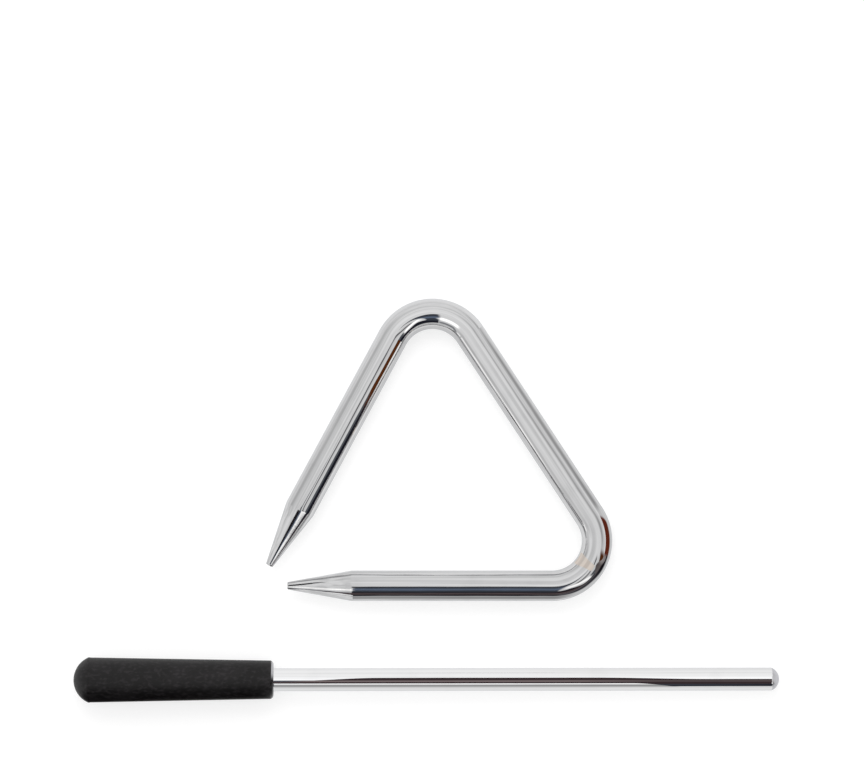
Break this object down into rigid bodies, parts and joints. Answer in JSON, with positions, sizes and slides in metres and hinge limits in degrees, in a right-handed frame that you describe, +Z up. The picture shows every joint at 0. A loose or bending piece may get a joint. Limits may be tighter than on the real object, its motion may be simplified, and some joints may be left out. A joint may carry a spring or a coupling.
{
  "type": "triangle instrument",
  "caption": "Musical triangle bent from round bar, with an open corner and tapered ends, beside its straight rod beater with a domed tip and a moulded grip.",
  "frame": {"origin": "middle of the footprint of the pair, on the table that it lies on", "axes": "+X along the beater from its grip towards its tip, +Y from the beater towards the triangle's closed top corner, +Z up from the table, square to the plane of the triangle"},
  "size_m": [0.208, 0.119, 0.0134],
  "materials": {
    "chromed_bar": "bright plating over drawn bar, with fine lengthwise lines, and turned rings on the tapers",
    "chromed_rod": "bright plating over ground rod, with a satin turned dome on the striking end",
    "grip_rubber": "matte black moulded rubber with a fine mottled skin and a cut mouth"
  },
  "bodies": {
    "triangle": {"triangle_rod": "chromed_bar"},
    "beater": {"beater_rod": "chromed_rod", "beater_grip": "grip_rubber"}
  },
  "joints": [
    {"name": "beater_lift", "type": "slide", "parent": "triangle", "child": "beater", "axis": [0, 0, 1], "range_m": [0, 0.1]}
  ]
}
